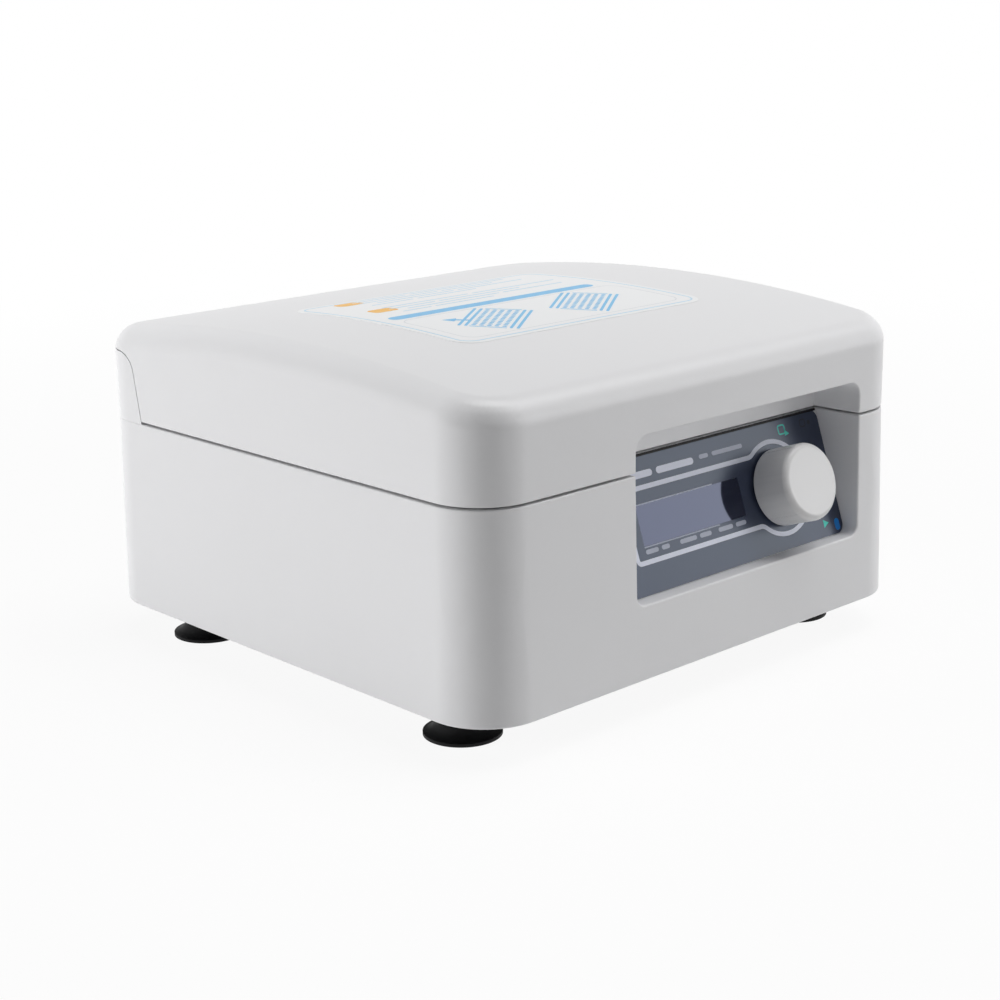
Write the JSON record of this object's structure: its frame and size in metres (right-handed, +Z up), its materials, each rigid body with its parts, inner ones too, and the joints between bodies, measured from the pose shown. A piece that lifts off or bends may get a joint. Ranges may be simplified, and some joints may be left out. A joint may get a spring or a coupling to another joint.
{
  "type": "microplate thermal mixer",
  "caption": "Bench thermal mixer: pale box with a hinged arched lid, a recessed sloping control panel with a knob, suction feet and a heated shaking platform for microplates.",
  "frame": {"origin": "on the desk, at the centre of the four feet", "axes": "+Z up, control panel towards -Y, +X to the right seen from the panel"},
  "size_m": [0.2736, 0.2766, 0.1568],
  "materials": {
    "case_plastic": "fine satin moulded plastic",
    "inner_plastic": "satin moulded plastic",
    "tray_steel": "pale powder coat",
    "steel_sheet": "grey powder coat",
    "zinc_steel": "zinc plated",
    "foot_rubber": "black rubber, slightly glossy",
    "overlay_film": "fine matt printed film",
    "window_clear": "tinted clear window",
    "display_black": "dark display glass",
    "circuit_board": "green solder resist",
    "encoder_metal": "plain metal",
    "shaft_steel": "ground steel",
    "knob_plastic": "satin pale grey",
    "hinge_black": "filled nylon",
    "cast_aluminium": "machined casting",
    "bearing_steel": "polished",
    "cast_iron": "machined iron, oiled",
    "belt_rubber": "black rubber",
    "black_plastic": "black moulded plastic",
    "blade_brass": "plated brass",
    "foam": "closed-cell foam",
    "heater_silicone": "silicone",
    "anodised_plate": "bead blasted, clear anodised"
  },
  "bodies": {
    "base": {"base_shell": "case_plastic", "rear_cover": "case_plastic", "cover_screws": "zinc_steel", "bottom_plate": "steel_sheet", "bottom_screws": "zinc_steel", "foot_front_left": "foot_rubber", "foot_rear_left": "foot_rubber", "foot_front_right": "foot_rubber", "foot_rear_right": "foot_rubber", "foot_screws": "zinc_steel", "chamber_tray": "tray_steel", "panel_overlay": "overlay_film", "display_window": "window_clear", "display_module": "display_black", "front_board": "circuit_board", "encoder_body": "encoder_metal", "hinge_pins": "shaft_steel", "drive_frame": "cast_aluminium", "frame_screws": "zinc_steel", "main_bearings": "bearing_steel", "idler_bearings": "bearing_steel", "drive_belt": "belt_rubber", "motor_body": "cast_aluminium", "mains_inlet": "black_plastic", "inlet_blades": "blade_brass", "switch_body": "black_plastic", "supply_board": "circuit_board", "control_board": "circuit_board"},
    "lid": {"lid_shell": "case_plastic", "lid_liner": "inner_plastic", "lid_screws": "zinc_steel", "lid_heater_plate": "anodised_plate", "lid_insulation": "foam", "lid_gasket": "heater_silicone", "hinge_arm_left": "hinge_black", "hinge_arm_right": "hinge_black", "hinge_arm_screws": "zinc_steel"},
    "encoder_rotor": {"encoder_rotor": "encoder_metal"},
    "knob": {"encoder_shaft": "shaft_steel", "knob": "knob_plastic"},
    "power_rocker": {"power_rocker": "black_plastic"},
    "crank": {"crank_shaft": "shaft_steel", "counterweight": "cast_iron", "crank_pulley": "cast_aluminium"},
    "motor_rotor": {"motor_shaft": "shaft_steel", "motor_pulley": "cast_aluminium"},
    "platform": {"carrier_plate": "cast_aluminium", "pin_bearing": "bearing_steel", "idler_pin_bearings": "bearing_steel", "insulation_pad": "foam", "platform_heater": "heater_silicone", "platform_block": "anodised_plate", "platform_screws": "zinc_steel", "nest_frame": "anodised_plate"},
    "clamp_left": {"plate_clamp_left": "black_plastic"},
    "clamp_right": {"plate_clamp_right": "black_plastic"},
    "idler_front_left": {"idler_front_left": "shaft_steel"},
    "idler_rear_left": {"idler_rear_left": "shaft_steel"},
    "idler_front_right": {"idler_front_right": "shaft_steel"},
    "idler_rear_right": {"idler_rear_right": "shaft_steel"}
  },
  "joints": [
    {"name": "lid_hinge", "type": "hinge", "parent": "base", "child": "lid", "pos_m": [0, 0.124, 0.126], "axis": [-1, 0, 0], "range_deg": [0, 80]},
    {"name": "knob_spin", "type": "hinge", "parent": "base", "child": "encoder_rotor", "pos_m": [0.0622, -0.11719, 0.07664], "axis": [0, -0.9462, 0.3236], "continuous": true},
    {"name": "knob_push", "type": "slide", "parent": "encoder_rotor", "child": "knob", "axis": [0, 0.9462, -0.3236], "range_m": [0, 0.0006], "stiffness_N_per_m": 1500, "springref_m": -0.001},
    {"name": "power_switch", "type": "hinge", "parent": "base", "child": "power_rocker", "pos_m": [0.026, 0.129, 0.046], "axis": [1, 0, 0], "range_deg": [0, 16]},
    {"name": "crank_spin", "type": "hinge", "parent": "base", "child": "crank", "pos_m": [0, -0.004, 0.06], "axis": [0, 0, 1], "continuous": true},
    {"name": "platform_orbit", "type": "hinge", "parent": "crank", "child": "platform", "pos_m": [0.0015, -0.004, 0.08], "axis": [0, 0, 1], "continuous": true},
    {"name": "motor_spin", "type": "hinge", "parent": "base", "child": "motor_rotor", "pos_m": [0, 0.066, 0.06], "axis": [0, 0, 1], "continuous": true},
    {"name": "clamp_left_slide", "type": "slide", "parent": "platform", "child": "clamp_left", "axis": [0, -1, 0], "range_m": [0, 0.002], "stiffness_N_per_m": 800, "springref_m": -0.004},
    {"name": "clamp_right_slide", "type": "slide", "parent": "platform", "child": "clamp_right", "axis": [0, -1, 0], "range_m": [0, 0.002], "stiffness_N_per_m": 800, "springref_m": -0.004},
    {"name": "idler_front_left_spin", "type": "hinge", "parent": "base", "child": "idler_front_left", "pos_m": [-0.082, -0.056, 0.075], "axis": [0, 0, 1], "continuous": true},
    {"name": "idler_rear_left_spin", "type": "hinge", "parent": "base", "child": "idler_rear_left", "pos_m": [-0.082, 0.048, 0.075], "axis": [0, 0, 1], "continuous": true},
    {"name": "idler_front_right_spin", "type": "hinge", "parent": "base", "child": "idler_front_right", "pos_m": [0.082, -0.056, 0.075], "axis": [0, 0, 1], "continuous": true},
    {"name": "idler_rear_right_spin", "type": "hinge", "parent": "base", "child": "idler_rear_right", "pos_m": [0.082, 0.048, 0.075], "axis": [0, 0, 1], "continuous": true}
  ],
  "couplings": [
    {"joint": "platform_orbit", "follows": "crank_spin", "ratio": -1},
    {"joint": "motor_spin", "follows": "crank_spin", "ratio": 3},
    {"joint": "idler_front_left_spin", "follows": "crank_spin", "ratio": 1},
    {"joint": "idler_rear_left_spin", "follows": "crank_spin", "ratio": 1},
    {"joint": "idler_front_right_spin", "follows": "crank_spin", "ratio": 1},
    {"joint": "idler_rear_right_spin", "follows": "crank_spin", "ratio": 1}
  ]
}
